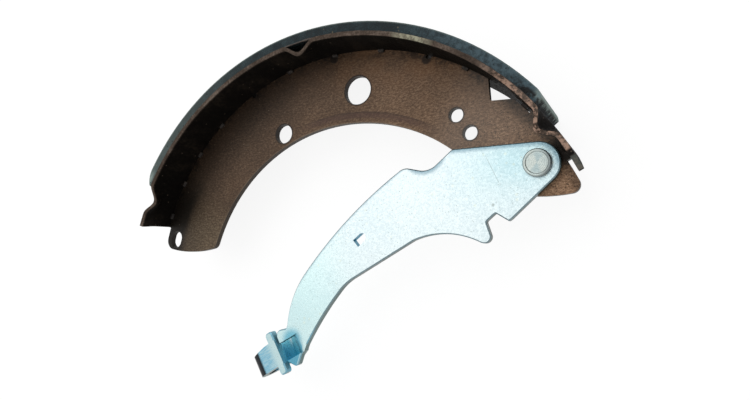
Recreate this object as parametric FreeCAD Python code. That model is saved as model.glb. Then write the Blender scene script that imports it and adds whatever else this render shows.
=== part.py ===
import FreeCAD, Part
import math
import os

from FreeCAD import Vector

# Brake shoe with its hand-brake lever, in millimetres.
# The drum's axis is +Z. The shoe lies on the rear edge of its table, at z = 0,
# and arches over +Y. The lever side of the web faces up.
# Angles are measured in degrees from +X, counter-clockwise, about the drum's axis.

# Friction lining
drum_radius = 127.0
lining_thickness = 4.75
lining_width = 45.0
lining_toe_angle = 36.6
lining_heel_angle = 148.15
lining_toe_rounding = (1.6, 1.5)  # angle along the lining, depth at its end face
lining_heel_rounding = (3.6, 3.0)
lining_rounding_middle = (0.4, 0.35)  # half-way point of the rounding, as shares of those

# Table, the curved rim that carries the lining
table_thickness = 2.0
table_width = 47.0
table_toe_angle = 22.1
table_heel_angle = 158.4
table_clip_angle = 29.0  # where the slanting cut at the toe meets the rear edge
table_clip_lip = 3.0  # straight part of the toe's end, next to the front edge

# Nibs: places where the table's front edge is pressed inward
# Each one: angle, flank toward the toe, flank toward the heel, depth, depth left past it
toe_nib = (32.5, 7.8, 7.8, 4.9, 0.0)
middle_nib = (93.2, 9.0, 9.0, 5.0, 0.0)
heel_nib = (151.0, 8.0, 8.8, 6.4, 2.0)
nib_run = 11.0
nib_sections = 4
nib_flank_points = 7
nib_tail_points = 3

# Web, the flat plate welded inside the table
# Depths are measured inward from the table's inner face
web_thickness = 3.0
web_offset = 1.25  # from the table's middle toward the lever
web_depth = 33.75
inner_edge_centre = Vector(1.7, -1.7, 0)
heel_tip_setback = 1.25
toe_tip_setback = 2.25
tip_end_radius = 66.0
heel_low_depth = 24.23  # lowest point of the heel's end, with its angle
heel_low_angle = 162.36
toe_low_depth = 12.41
toe_low_angle = 21.26
heel_corner_radius = 5.0
toe_corner_radius = 3.6
inner_corner_radius = 4.0
web_toe_angle = 26.5  # past it the web's outer edge leaves the table

# Round holes in the web: depth, angle, diameter
hold_down_hole = (19.35, 82.6, 14.0)
side_hole = (29.35, 109.9, 9.8)
spring_holes = ((20.15, 52.4, 6.4), (23.25, 46.5, 6.4))

# Oval hole in the heel tip, long along the arc
heel_hole_depth = 7.55
heel_hole_angle = 160.9
heel_hole_width = 7.2
heel_hole_length = 9.2

# Window under the table, near the toe
window_corner_depth = 7.41
window_corner_angle = 47.28
window_side_direction = 90.0
window_floor_direction = -5.5
window_reach = 18.0
window_fillet = 0.8
edge_relief = 1.2  # the web's outer edge stands back by this much next to the window
edge_relief_angle = 38.9

# Locating notches in the web's outer edge
notch_angles = (114.1, 65.2)
notch_radius = 1.6

# Projection welds between web and table
weld_angles = (155.3, 145.7, 136.5, 126.4, 102.0, 89.1, 77.0, 56.0, 40.5, 29.0)
weld_bead_radius = 1.3
weld_bead_length = 3.0

# Pivot pin, a shouldered rivet
pivot_depth = 12.01
pivot_angle = 29.08
pin_head_diameter = 11.6
pin_head_height = 1.9
pin_head_edge = 0.45
pin_dish_depth = 0.3
pin_dish_rim = 1.1
pin_shank_diameter = 8.0
pin_tenon_diameter = 6.4
pin_tail_diameter = 9.4
pin_tail_height = 1.4
pin_tail_edge = 1.0
running_clearance = 0.05
side_clearance = 0.3
head_clearance = 0.15

# Lever blank, laid out from its pivot hole
lever_thickness = 3.5
lever_head_radius = 9.0
lever_edge_break = 0.5  # bevel along the upper edge
shoulder_corner = Vector(-35.6, 10.9, 0)
saddle_corner = Vector(-47.2, 2.4, 0)
hump_corner = Vector(-58.8, 5.9, 0)
back_middle = Vector(-90.8, -16.2, 0)
back_end = Vector(-115.1, -39.8, 0)
neck_middle = Vector(-122.1, -50.7, 0)
neck_end = Vector(-125.8, -63.0, 0)
ear_root = Vector(-126.4, -64.9, 0)
belly_end = Vector(-115.8, -74.0, 0)
rim_step = Vector(-118.1, -77.3, 0)
belly_middle = Vector(-104.6, -58.4, 0)
knee_corner = Vector(-91.8, -44.4, 0)
arch_start = Vector(-56.6, -27.3, 0)
arch_middle = Vector(-43.6, -25.4, 0)
arch_end = Vector(-26.1, -30.4, 0)
nose_corner = Vector(-20.4, -32.4, 0)
notch_lip = Vector(-23.2, -21.8, 0)
notch_corner = Vector(-19.0, -18.6, 0)
tooth_inner = Vector(-13.7, -22.4, 0)
tooth_outer = Vector(-12.4, -21.6, 0)

# Radii of the blank's rounded corners
shoulder_radius = 2.5
saddle_radius = 9.0
hump_radius = 6.0
ear_root_radius = 0.8
ear_radius = 3.0
rim_radius = 2.0
rim_step_radius = 3.0
knee_radius = 25.0
nose_radius = 2.8
notch_lip_radius = 1.0
notch_corner_radius = 0.8
tooth_radius = 0.7

# Small D-shaped slot in the lever
slot_centre = Vector(-82.8, -24.6, 0)
slot_direction = 36.0
slot_length = 6.4
slot_width = 4.1

# Cable hook: a tongue of the blank that dips, runs out and curls back on top
hook_origin = Vector(-130.2, -75.7, 0)
hook_direction = 205.8
hook_tongue_width = 12.0
hook_ear_cover = 2.6  # the blank's ear covers this much of the tongue's left side
hook_bar_width = 21.6
hook_bar_depth = 5.1
hook_bar_corner = 1.6
hook_bar_edge = 0.6
hook_bar_lift = 1.2  # the bar's free edge stands this much above the lever's top
hook_bar_tilt = 12.0  # the bar still rises by this angle toward the lever
hook_gap = 0.9  # between the bar and the shoulders of the blank
hook_root = 13.65  # where the tongue leaves the blank, before the bar
hook_root_overlap = 1.5
hook_dip_radius = 4.0
hook_dip_angle = 45.0
hook_curl_radius = 3.6
hook_crown_radius = 16.0
hook_crown_angle = 28.0
hook_flat = 13.2
hook_taper_start = Vector(8.5, -6.0, 0)  # the curl's left side narrows from here, out and across
hook_taper_end = Vector(23.0, -4.2, 0)
hook_slant_start = Vector(-3.5, 2.2, 0)  # slant of the right side, from the root
hook_slant_end = Vector(2.0, 6.6, 0)
hook_ear_half_width = 10.0
hook_rim_setback = 5.3
hook_rim_half_width = 11.0

cut_margin = 1.0  # cutters run past the faces that they cut by this much

# Sizes that follow from those above
lining_inner_radius = drum_radius - lining_thickness
table_inner_radius = lining_inner_radius - table_thickness
inner_edge_radius = table_inner_radius - web_depth
heel_tip_radius = table_inner_radius - heel_tip_setback
toe_tip_radius = table_inner_radius - toe_tip_setback
web_bottom = (table_width - web_thickness) / 2 + web_offset
web_top = web_bottom + web_thickness
lever_bottom = web_top + side_clearance
lever_top = lever_bottom + lever_thickness


def polar(radius, angle, z=0.0):
    """Point at a radius and an angle about the drum's axis."""
    turn = math.radians(angle)
    return Vector(radius * math.cos(turn), radius * math.sin(turn), z)


pivot = polar(table_inner_radius - pivot_depth, pivot_angle)
heel_low_point = polar(table_inner_radius - heel_low_depth, heel_low_angle)
toe_low_point = polar(table_inner_radius - toe_low_depth, toe_low_angle)
window_corner = polar(table_inner_radius - window_corner_depth, window_corner_angle)


def line(start, end):
    return Part.LineSegment(start, end).toShape()


def arc(start, middle, end):
    return Part.Arc(start, middle, end).toShape()


def plate(edges, bottom, thickness):
    """Flat solid from a closed run of edges drawn at z = 0."""
    face = Part.Face(Part.Wire(edges))
    solid = face.extrude(Vector(0, 0, thickness))
    solid.translate(Vector(0, 0, bottom))
    return solid


def upright_edges_at(solid, place, reach=0.05):
    """Edges of a plate that stand parallel to Z at one place in plan."""
    found = []
    for edge in solid.Edges:
        ends = [vertex.Point for vertex in edge.Vertexes]
        if len(ends) != 2 or abs(ends[0].z - ends[1].z) < 0.5:
            continue
        if all(math.hypot(end.x - place.x, end.y - place.y) < reach for end in ends):
            found.append(edge)
    return found


def round_corners(solid, corners):
    """Round a plate's upright corners: each corner is a place and a radius."""
    for place, radius in corners:
        solid = solid.makeFillet(radius, upright_edges_at(solid, place))
    return solid


def break_upper_edge(solid, z, size):
    """Bevel a plate's whole edge at the height of its upper face."""
    edges = [edge for edge in solid.Edges
             if all(abs(vertex.Z - z) < 0.01 for vertex in edge.Vertexes)]
    return solid.makeChamfer(size, edges)


def circles_meet(centre_a, radius_a, centre_b, radius_b, side):
    """Point where two circles cross, to the left (+1) or right (-1) of the line a to b."""
    gap = centre_b - centre_a
    distance = gap.Length
    along = (radius_a ** 2 - radius_b ** 2 + distance ** 2) / (2 * distance)
    across = math.sqrt(radius_a ** 2 - along ** 2)
    forward = gap * (1 / distance)
    left = Vector(-forward.y, forward.x, 0)
    return centre_a + forward * along + left * (side * across)


def tangent_point(outside, centre, radius, side):
    """Point where a line from outside touches a circle, on its left (+1) or right (-1)."""
    reach = outside - centre
    swing = math.degrees(math.acos(radius / reach.Length)) * side
    heading = math.degrees(math.atan2(reach.y, reach.x)) + swing
    return centre + polar(radius, heading)


def ring_sector(inner, outer, start_angle, end_angle, bottom, height):
    """Part of a ring about the drum's axis."""
    middle_angle = (start_angle + end_angle) / 2
    edges = [
        arc(polar(outer, start_angle), polar(outer, middle_angle), polar(outer, end_angle)),
        line(polar(outer, end_angle), polar(inner, end_angle)),
        arc(polar(inner, end_angle), polar(inner, middle_angle), polar(inner, start_angle)),
        line(polar(inner, start_angle), polar(outer, start_angle)),
    ]
    return plate(edges, bottom, height)


def cylinder(place, diameter, bottom, height):
    return Part.makeCylinder(diameter / 2, height, Vector(place.x, place.y, bottom))


def drill(place, diameter, bottom, height):
    """Cutter for a round hole through a plate, run past both of its faces."""
    return cylinder(place, diameter, bottom - cut_margin, height + 2 * cut_margin)


def degrees_along_table(length):
    """Angle that a length takes up on the table's outer face."""
    return math.degrees(length / lining_inner_radius)


def cosine_fall(share):
    """Smooth fall from 1 at share 0 to 0 at share 1."""
    return (1 + math.cos(math.pi * share)) / 2


def nib_profile(nib):
    """Angles across a nib and the depth of the press at each, as a share of the full depth.

    A nib that leaves some depth past it runs on to the table's heel end.
    """
    angle, toe_flank, heel_flank, depth, depth_left = nib
    left = depth_left / depth
    steps = [step / nib_flank_points for step in range(nib_flank_points + 1)]
    toe_angle = degrees_along_table(toe_flank)
    heel_angle = degrees_along_table(heel_flank)
    places = [(angle - share * toe_angle, cosine_fall(share)) for share in reversed(steps)]
    places += [(angle + share * heel_angle, left + (1 - left) * cosine_fall(share))
               for share in steps[1:]]
    if depth_left > 0:
        tail = table_heel_angle - angle - heel_angle
        places += [(angle + heel_angle + tail * step / nib_tail_points, left)
                   for step in range(1, nib_tail_points + 1)]
    return places


def nib_section(places, depth, z):
    """Section of the table across one nib, at one height."""

    def edge_curve(radius):
        curve = Part.BSplineCurve()
        curve.interpolate([polar(radius - share * depth, angle, z) for angle, share in places])
        return curve.toShape()

    def end_line(place):
        angle, share = place
        return line(polar(lining_inner_radius - share * depth, angle, z),
                    polar(table_inner_radius - share * depth, angle, z))

    return Part.Wire([end_line(places[0]), edge_curve(table_inner_radius),
                      end_line(places[-1]), edge_curve(lining_inner_radius)])


def press_nib(table, nib):
    """Swap a stretch of the table's front edge for the pressed one, fading out along the axis."""
    places = nib_profile(nib)
    sections = []
    for step in range(nib_sections):
        share = step / (nib_sections - 1)
        sections.append(nib_section(places, nib[3] * cosine_fall(share),
                                    table_width - share * nib_run))
    blank = ring_sector(table_inner_radius - cut_margin, lining_inner_radius + cut_margin,
                        places[0][0], places[-1][0], table_width - nib_run, nib_run + cut_margin)
    return table.cut(blank).fuse(Part.makeLoft(sections, True, False))


def clip_toe(table):
    """Cut the table's toe end back on a slant, from behind its front edge to the rear edge."""
    start = polar(lining_inner_radius, table_clip_angle)
    run = lining_inner_radius * math.sin(math.radians(table_clip_angle - table_toe_angle))
    along = polar(run, table_clip_angle - 90)
    up = Vector(0, 0, table_width - table_clip_lip)
    corners = [start, start + along + up, start + along * 2 + up, start + along * 2, start]
    outward = polar(3 * table_thickness, table_clip_angle)
    cutter = Part.Face(Part.makePolygon(corners)).extrude(outward * 2)
    cutter.translate(outward * -1)
    return table.cut(cutter)


def make_table():
    table = ring_sector(table_inner_radius, lining_inner_radius,
                        table_toe_angle, table_heel_angle, 0, table_width)
    for nib in (toe_nib, middle_nib, heel_nib):
        table = press_nib(table, nib)
    return table.removeSplitter()


def make_lining():
    """Bonded lining with both of its ends rounded off toward the drum."""

    def rounded_end(end_angle, rounding, inward):
        length, depth = rounding
        return arc(polar(drum_radius, end_angle + inward * length),
                   polar(drum_radius - lining_rounding_middle[1] * depth,
                         end_angle + inward * lining_rounding_middle[0] * length),
                   polar(drum_radius - depth, end_angle))

    toe = lining_toe_angle
    heel = lining_heel_angle
    toe_round = rounded_end(toe, lining_toe_rounding, 1)
    heel_round = rounded_end(heel, lining_heel_rounding, -1)
    edges = [
        line(polar(lining_inner_radius, toe), polar(drum_radius - lining_toe_rounding[1], toe)),
        toe_round,
        arc(polar(drum_radius, toe + lining_toe_rounding[0]), polar(drum_radius, 90),
            polar(drum_radius, heel - lining_heel_rounding[0])),
        heel_round,
        line(polar(drum_radius - lining_heel_rounding[1], heel), polar(lining_inner_radius, heel)),
        arc(polar(lining_inner_radius, heel), polar(lining_inner_radius, 90),
            polar(lining_inner_radius, toe)),
    ]
    return plate(edges, (table_width - lining_width) / 2, lining_width)


def web_cutter(edges):
    """Cutter through the web from a closed run of edges."""
    return plate(edges, web_bottom - cut_margin, web_thickness + 2 * cut_margin)


def heel_slot():
    """Cutter for the oval hole in the heel tip."""
    half_run = (heel_hole_length - heel_hole_width) / 2
    centre = polar(table_inner_radius - heel_hole_depth, heel_hole_angle)
    along = polar(1, heel_hole_angle + 90)
    ends = [centre - along * half_run, centre + along * half_run]
    cutter = drill(ends[0], heel_hole_width, web_bottom, web_thickness)
    cutter = cutter.fuse(drill(ends[1], heel_hole_width, web_bottom, web_thickness))
    side = polar(heel_hole_width / 2, heel_hole_angle)
    corners = [ends[0] - side, ends[1] - side, ends[1] + side, ends[0] + side, ends[0] - side]
    return cutter.fuse(web_cutter([Part.makePolygon(corners)]))


def window_cutter():
    """Cutter for the opening that the web leaves under the table."""
    up = window_corner + polar(window_reach, window_side_direction)
    along = window_corner + polar(window_reach, window_floor_direction)
    cutter = web_cutter([Part.makePolygon([window_corner, along, up, window_corner])])
    cutter = round_corners(cutter, [(window_corner, window_fillet)])
    relief = ring_sector(table_inner_radius - edge_relief, table_inner_radius + cut_margin,
                         edge_relief_angle, window_corner_angle,
                         web_bottom - cut_margin, web_thickness + 2 * cut_margin)
    return cutter.fuse(relief)


def make_web():
    origin = Vector(0, 0, 0)
    heel_centre = heel_low_point + Vector(0, tip_end_radius, 0)
    toe_centre = toe_low_point + Vector(0, tip_end_radius, 0)
    heel_outer = circles_meet(origin, heel_tip_radius, heel_centre, tip_end_radius, 1)
    heel_inner = circles_meet(inner_edge_centre, inner_edge_radius, heel_centre, tip_end_radius, 1)
    toe_outer = circles_meet(origin, toe_tip_radius, toe_centre, tip_end_radius, -1)
    toe_inner = circles_meet(inner_edge_centre, inner_edge_radius, toe_centre, tip_end_radius, -1)
    heel_tip_angle = (table_heel_angle + math.degrees(math.atan2(heel_outer.y, heel_outer.x))) / 2
    toe_tip_angle = (web_toe_angle + math.degrees(math.atan2(toe_outer.y, toe_outer.x))) / 2
    edges = [
        arc(polar(table_inner_radius, web_toe_angle), polar(table_inner_radius, 90),
            polar(table_inner_radius, table_heel_angle)),
        line(polar(table_inner_radius, table_heel_angle), polar(heel_tip_radius, table_heel_angle)),
        arc(polar(heel_tip_radius, table_heel_angle), polar(heel_tip_radius, heel_tip_angle),
            heel_outer),
        arc(heel_outer, heel_low_point, heel_inner),
        arc(heel_inner, inner_edge_centre + Vector(0, inner_edge_radius, 0), toe_inner),
        arc(toe_inner, toe_low_point, toe_outer),
        arc(toe_outer, polar(toe_tip_radius, toe_tip_angle),
            polar(toe_tip_radius, web_toe_angle)),
        line(polar(toe_tip_radius, web_toe_angle), polar(table_inner_radius, web_toe_angle)),
    ]
    web = plate(edges, web_bottom, web_thickness)
    web = round_corners(web, [
        (heel_outer, heel_corner_radius),
        (heel_inner, inner_corner_radius),
        (toe_inner, inner_corner_radius),
        (toe_outer, toe_corner_radius),
    ])
    for depth, angle, diameter in (hold_down_hole, side_hole) + spring_holes:
        place = polar(table_inner_radius - depth, angle)
        web = web.cut(drill(place, diameter, web_bottom, web_thickness))
    for angle in notch_angles:
        place = polar(table_inner_radius, angle)
        web = web.cut(drill(place, 2 * notch_radius, web_bottom, web_thickness))
    web = web.cut(drill(pivot, pin_tenon_diameter, web_bottom, web_thickness))
    return web.cut(heel_slot()).cut(window_cutter()).removeSplitter()


def make_weld_beads(web, table):
    """Metal squeezed out of each weld, in the corners on both sides of the web."""
    beads = []
    for angle in weld_angles:
        along = polar(1, angle + 90)
        for z in (web_bottom, web_top):
            start = polar(table_inner_radius, angle, z) - along * (weld_bead_length / 2)
            rod = Part.makeCylinder(weld_bead_radius, weld_bead_length, start, along)
            beads += rod.cut(web).cut(table).Solids
    inside = [bead for bead in beads
              if math.hypot(bead.CenterOfMass.x, bead.CenterOfMass.y) < table_inner_radius]
    return Part.makeCompound(inside)


def pin_disc(diameter, bottom, height, edge, upper):
    """Disc on the pivot with the rim of its upper or its lower end bevelled."""
    radius = diameter / 2
    straight = height - edge
    if upper:
        disc = cylinder(pivot, diameter, bottom, straight)
        cone = Part.makeCone(radius, radius - edge, edge, pivot + Vector(0, 0, bottom + straight))
    else:
        disc = cylinder(pivot, diameter, bottom + edge, straight)
        cone = Part.makeCone(radius - edge, radius, edge, pivot + Vector(0, 0, bottom))
    return disc.fuse(cone)


def make_pin():
    """Shouldered rivet: dished head, bearing, tenon through the web and upset tail."""
    head_bottom = lever_top + head_clearance
    head_top = head_bottom + pin_head_height
    tail_bottom = web_bottom - pin_tail_height
    head = pin_disc(pin_head_diameter, head_bottom, pin_head_height, pin_head_edge, True)
    dish_radius = pin_head_diameter / 2 - pin_dish_rim
    dish = Part.makeCone(dish_radius - pin_dish_depth, dish_radius + pin_dish_depth,
                         2 * pin_dish_depth, pivot + Vector(0, 0, head_top - pin_dish_depth))
    tail = pin_disc(pin_tail_diameter, tail_bottom, pin_tail_height, pin_tail_edge, False)
    bearing = cylinder(pivot, pin_shank_diameter, web_top, head_bottom - web_top)
    tenon = cylinder(pivot, pin_tenon_diameter, web_bottom, web_thickness)
    return head.cut(dish).fuse([bearing, tenon, tail]).removeSplitter()


def hook_point(out, across, z=0.0):
    """Point of the hook's own frame, in the lever's frame about the pivot."""
    return hook_origin + polar(out, hook_direction) + polar(across, hook_direction + 90) + Vector(0, 0, z)


def lever_blank():
    """Flat blank of the lever about its pivot, with the gap that the tongue leaves."""
    centre = Vector(0, 0, 0)
    head_top = tangent_point(shoulder_corner, centre, lever_head_radius, -1)
    head_side = tangent_point(tooth_outer, centre, lever_head_radius, 1)
    head_middle = polar(lever_head_radius, 20)
    ear_corner = hook_point(-hook_gap, -hook_ear_half_width)
    rim_inner = hook_point(-hook_gap, hook_tongue_width / 2)
    rim_corner = hook_point(-hook_rim_setback, hook_rim_half_width)
    edges = [
        arc(head_side, head_middle, head_top),
        line(head_top, shoulder_corner),
        line(shoulder_corner, saddle_corner),
        line(saddle_corner, hump_corner),
        arc(hump_corner, back_middle, back_end),
        arc(back_end, neck_middle, neck_end),
        line(neck_end, ear_root),
        line(ear_root, ear_corner),
        line(ear_corner, rim_inner),
        line(rim_inner, rim_corner),
        line(rim_corner, rim_step),
        line(rim_step, belly_end),
        arc(belly_end, belly_middle, knee_corner),
        line(knee_corner, arch_start),
        arc(arch_start, arch_middle, arch_end),
        line(arch_end, nose_corner),
        line(nose_corner, notch_lip),
        line(notch_lip, notch_corner),
        line(notch_corner, tooth_inner),
        line(tooth_inner, tooth_outer),
        line(tooth_outer, head_side),
    ]
    blank = plate(edges, lever_bottom, lever_thickness)
    blank = round_corners(blank, [
        (shoulder_corner, shoulder_radius),
        (saddle_corner, saddle_radius),
        (hump_corner, hump_radius),
        (ear_root, ear_root_radius),
        (ear_corner, ear_radius),
        (rim_corner, rim_radius),
        (rim_step, rim_step_radius),
        (knee_corner, knee_radius),
        (nose_corner, nose_radius),
        (notch_lip, notch_lip_radius),
        (notch_corner, notch_corner_radius),
        (tooth_outer, tooth_radius),
    ])
    return break_upper_edge(blank, lever_top, lever_edge_break)


def lever_cutter(edges):
    """Cutter through the blank from a closed run of edges."""
    return plate(edges, lever_bottom - cut_margin, lever_thickness + 2 * cut_margin)


def tongue_gap():
    """Cutter for the gap that the tongue leaves in the blank."""
    right = hook_tongue_width / 2
    left = hook_ear_cover - right
    corners = [hook_point(-hook_root, left), hook_point(hook_flat, left),
               hook_point(hook_flat, right), hook_point(-hook_root, right)]
    corners.append(corners[0])
    return lever_cutter([Part.makePolygon(corners)])


def lever_slot():
    """Cutter for the D-shaped slot: one flat end and one round end."""
    along = polar(1, slot_direction)
    across = polar(slot_width / 2, slot_direction + 90)
    flat_end = slot_centre - along * (slot_length / 2)
    round_centre = slot_centre + along * ((slot_length - slot_width) / 2)
    round_end = slot_centre + along * (slot_length / 2)
    edges = [
        line(flat_end + across, flat_end - across),
        line(flat_end - across, round_centre - across),
        arc(round_centre - across, round_end, round_centre + across),
        line(round_centre + across, flat_end + across),
    ]
    return lever_cutter(edges)


def strip_path():
    """Straight runs and bends of the tongue, from its root to the bar's free edge.

    Each step is (length, 0) for a straight run or (radius, angle) for a bend.
    """
    dip = math.radians(hook_dip_angle)
    curl = math.radians(180 - hook_crown_angle)
    tilt = math.radians(hook_bar_tilt)
    rise = (hook_curl_radius * (1 - math.cos(curl))
            + hook_crown_radius * (math.cos(curl) + math.cos(tilt))
            + hook_flat * math.sin(tilt))
    slope_run = (rise - hook_bar_lift - 2 * hook_dip_radius * (1 - math.cos(dip))) / math.sin(dip)
    dip_reach = 2 * hook_dip_radius * math.sin(dip) + slope_run * math.cos(dip)
    back_reach = (hook_flat * math.cos(tilt) - hook_curl_radius * math.sin(curl)
                  + hook_crown_radius * (math.sin(curl) - math.sin(tilt)))
    low_run = hook_root - dip_reach + back_reach
    return [
        (hook_root_overlap, 0),
        (hook_dip_radius, -hook_dip_angle),
        (slope_run, 0),
        (hook_dip_radius, hook_dip_angle),
        (low_run, 0),
        (hook_curl_radius, 180 - hook_crown_angle),
        (hook_crown_radius, hook_crown_angle - hook_bar_tilt),
        (hook_flat, 0),
    ]


def strip_section(edges):
    """Extrude a section drawn in x and z across the tongue's width."""
    face = Part.Face(Part.Wire(edges))
    solid = face.extrude(Vector(0, hook_tongue_width, 0))
    solid.translate(Vector(0, -hook_tongue_width / 2, 0))
    return solid


def make_tongue():
    """Bent strip of the hook, walked along its middle line in x and z."""
    half = lever_thickness / 2
    place = Vector(-hook_root - hook_root_overlap, 0, lever_top - half)
    heading = 0.0
    tongue = None
    for size, turn in strip_path():
        forward = math.radians(heading)
        normal = Vector(-math.sin(forward), 0, math.cos(forward))
        if turn == 0:
            end = place + Vector(math.cos(forward), 0, math.sin(forward)) * size
            corners = [place - normal * half, end - normal * half,
                       end + normal * half, place + normal * half, place - normal * half]
            piece = strip_section([Part.makePolygon(corners)])
        else:
            side = 1 if turn > 0 else -1
            centre = place + normal * (size * side)

            def on_bend(radius, angle):
                swing = math.radians(heading + angle)
                return centre - Vector(-math.sin(swing), 0, math.cos(swing)) * (radius * side)

            outer = size + half
            inner = size - half
            piece = strip_section([
                arc(on_bend(outer, 0), on_bend(outer, turn / 2), on_bend(outer, turn)),
                line(on_bend(outer, turn), on_bend(inner, turn)),
                arc(on_bend(inner, turn), on_bend(inner, turn / 2), on_bend(inner, 0)),
                line(on_bend(inner, 0), on_bend(outer, 0)),
            ])
            end = on_bend(size, turn)
            heading += turn
        tongue = piece if tongue is None else tongue.fuse(piece)
        place = end
    return tongue


def side_trim():
    """Cutter for both sides of the tongue: the curl's taper and the slant at its root."""
    taper = [hook_taper_start, Vector(hook_taper_end.x, hook_taper_start.y, 0),
             hook_taper_end, hook_taper_start]
    corner = Vector(hook_slant_start.x, hook_slant_end.y, 0)
    root = [hook_slant_start, hook_slant_end, corner, hook_slant_start]
    root = [place - Vector(hook_root, 0, 0) for place in root]
    height = 2 * lever_top
    return plate([Part.makePolygon(taper)], 0, height).fuse(plate([Part.makePolygon(root)], 0, height))


def make_hook():
    """Curled tongue with the cross-bar at its free end, in the lever's frame."""
    bar = Part.makeBox(hook_bar_depth, hook_bar_width, lever_thickness,
                       Vector(0, -hook_bar_width / 2, -lever_thickness))
    half = hook_bar_width / 2
    corners = [Vector(x, y, 0) for x in (0, hook_bar_depth) for y in (-half, half)]
    bar = round_corners(bar, [(corner, hook_bar_corner) for corner in corners])
    bar = break_upper_edge(bar, 0, hook_bar_edge)
    bar.rotate(Vector(0, 0, 0), Vector(0, 1, 0), hook_bar_tilt)
    middle_drop = lever_thickness / 2 * math.cos(math.radians(hook_bar_tilt))
    middle_out = lever_thickness / 2 * math.sin(math.radians(hook_bar_tilt))
    bar.translate(Vector(middle_out, 0, lever_top + hook_bar_lift - lever_thickness / 2 + middle_drop))
    hook = make_tongue().cut(side_trim()).fuse(bar)
    hook.rotate(Vector(0, 0, 0), Vector(0, 0, 1), hook_direction)
    hook.translate(hook_origin)
    return hook


def make_lever():
    bore = drill(Vector(0, 0, 0), pin_shank_diameter + 2 * running_clearance,
                 lever_bottom, lever_thickness)
    lever = lever_blank().cut(tongue_gap()).cut(lever_slot()).cut(bore)
    lever = lever.fuse(make_hook()).removeSplitter()
    lever.translate(pivot)
    return lever


def main():
    os.makedirs("parts", exist_ok=True)
    web = make_web()
    table = clip_toe(make_table())
    shapes = {
        "web": web,
        "table": table,
        "weld_beads": make_weld_beads(web, table),
        "lining": make_lining(),
        "pivot_pin": make_pin(),
        "lever": make_lever(),
    }
    for name, shape in shapes.items():
        shape.exportStep("parts/" + name + ".step")
        box = shape.BoundBox
        print(name, "solids", len(shape.Solids), "valid", shape.isValid(),
              "volume", round(shape.Volume),
              "x %.1f %.1f y %.1f %.1f z %.1f %.1f" % (box.XMin, box.XMax, box.YMin, box.YMax,
                                                       box.ZMin, box.ZMax))


main()
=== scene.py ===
import logging
import math
from dataclasses import dataclass, field
from enum import Enum
from typing import Optional, Union

import bpy
import numpy as np
from mathutils import Euler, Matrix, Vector


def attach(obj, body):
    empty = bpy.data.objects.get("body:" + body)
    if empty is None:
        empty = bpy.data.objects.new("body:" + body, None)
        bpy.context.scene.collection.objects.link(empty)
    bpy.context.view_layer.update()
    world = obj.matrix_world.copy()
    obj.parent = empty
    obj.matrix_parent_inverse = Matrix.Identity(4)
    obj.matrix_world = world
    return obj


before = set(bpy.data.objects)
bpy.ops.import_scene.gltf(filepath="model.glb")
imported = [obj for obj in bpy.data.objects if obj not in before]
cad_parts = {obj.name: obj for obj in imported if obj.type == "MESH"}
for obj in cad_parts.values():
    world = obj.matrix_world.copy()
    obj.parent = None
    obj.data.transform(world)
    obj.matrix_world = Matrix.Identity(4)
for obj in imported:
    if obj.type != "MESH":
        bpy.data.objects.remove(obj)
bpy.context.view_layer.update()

LOG = logging.getLogger("brake_shoe")

MM = 0.001  # one millimetre in the scene's metres
PER_METRE = (1 / MM,) * 3  # millimetres in a metre, along each axis

Socket = bpy.types.NodeSocket
Colour = tuple[float, float, float]
Point = tuple[float, float, float]
Value = Union[Socket, float, Colour]
Inputs = dict[Union[str, int], Value]  # values by the input's name or place
Stops = tuple[tuple[float, Colour], ...]  # places and colours of a colour ramp
Pair = tuple[float, float]
Numbers = tuple[float, ...]
Step = tuple[float, ...]  # smooth step: from, to, and the results there if not 0 and 1

ORIGIN: Point = (0.0, 0.0, 0.0)
# near black: soot on the web, and painted shade in the rim's corner and round the lever's head
SOOT_AND_SHADE: Colour = (0.006, 0.005, 0.004)


class Body(Enum):
    """The two bodies that the pieces move with."""

    SHOE = "shoe"
    LEVER = "lever"


class Slot(Enum):
    """Material slots of the record, by name."""

    LINING = "lining"


@dataclass(frozen=True)
class ShoeLayout:
    """Places and sizes on the CAD part that the finishes refer to, in millimetres and degrees.

    Angles and headings run counter-clockwise from +X, seen from the front.
    """

    bond_radius: float = 122.25
    rim_width: float = 47.0
    lining_low: float = 1.0
    lining_high: float = 46.0
    lining_toe: float = 36.6
    lining_heel: float = 148.15
    web_edge_centre: Point = (1.7, -1.7, 0.0)
    pivot: Point = (94.595, 52.608, 0.0)
    head_radius: float = 9.0
    head_edge_heading: float = 87.0
    saddle_centre: Point = (45.7, 64.9, 0.0)
    saddle_radius: float = 9.0
    back_centre: Point = (143.71, -131.97, 0.0)
    back_radius: float = 218.92
    slot_centre: Point = (11.8, 28.0, 0.0)
    dish_centre: Point = (-28.9, -23.2, 0.0)
    smudge_centre: Point = (-28.6, -17.8, 0.0)
    hook_root: Point = (-35.6, -23.1, 0.0)
    hook_heading: float = 205.8
    neck_edge: Point = (-23.5, -24.7, 0.0)
    neck_heading: float = 247.4
    scratch_start: Point = (73.4, 58.9, 0.0)
    scratch_heading: float = -68.8
    scratch_length: float = 14.0
    dent: Point = (75.0, 37.5, 0.0)
    # distance and turn about the drum's axis, and the hole's own radius
    holes: tuple[Point, ...] = (
        (100.9, 82.6, 7.0), (90.9, 109.9, 4.9), (100.1, 52.4, 3.2), (97.0, 46.5, 3.2))
    sooty_welds: tuple[Pair, ...] = ((118.4, 89.6), (118.2, 65.5))


LAYOUT = ShoeLayout()


def polar_point(radius: float, turn: float) -> Point:
    """Point at a distance and a turn about the drum's axis.

    Args:
        radius: distance from the axis in mm.
        turn: angle from +X in degrees.

    Returns:
        The point in mm, at height 0.
    """
    return radius * math.cos(math.radians(turn)), radius * math.sin(math.radians(turn)), 0.0


# ---- shader building


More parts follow.
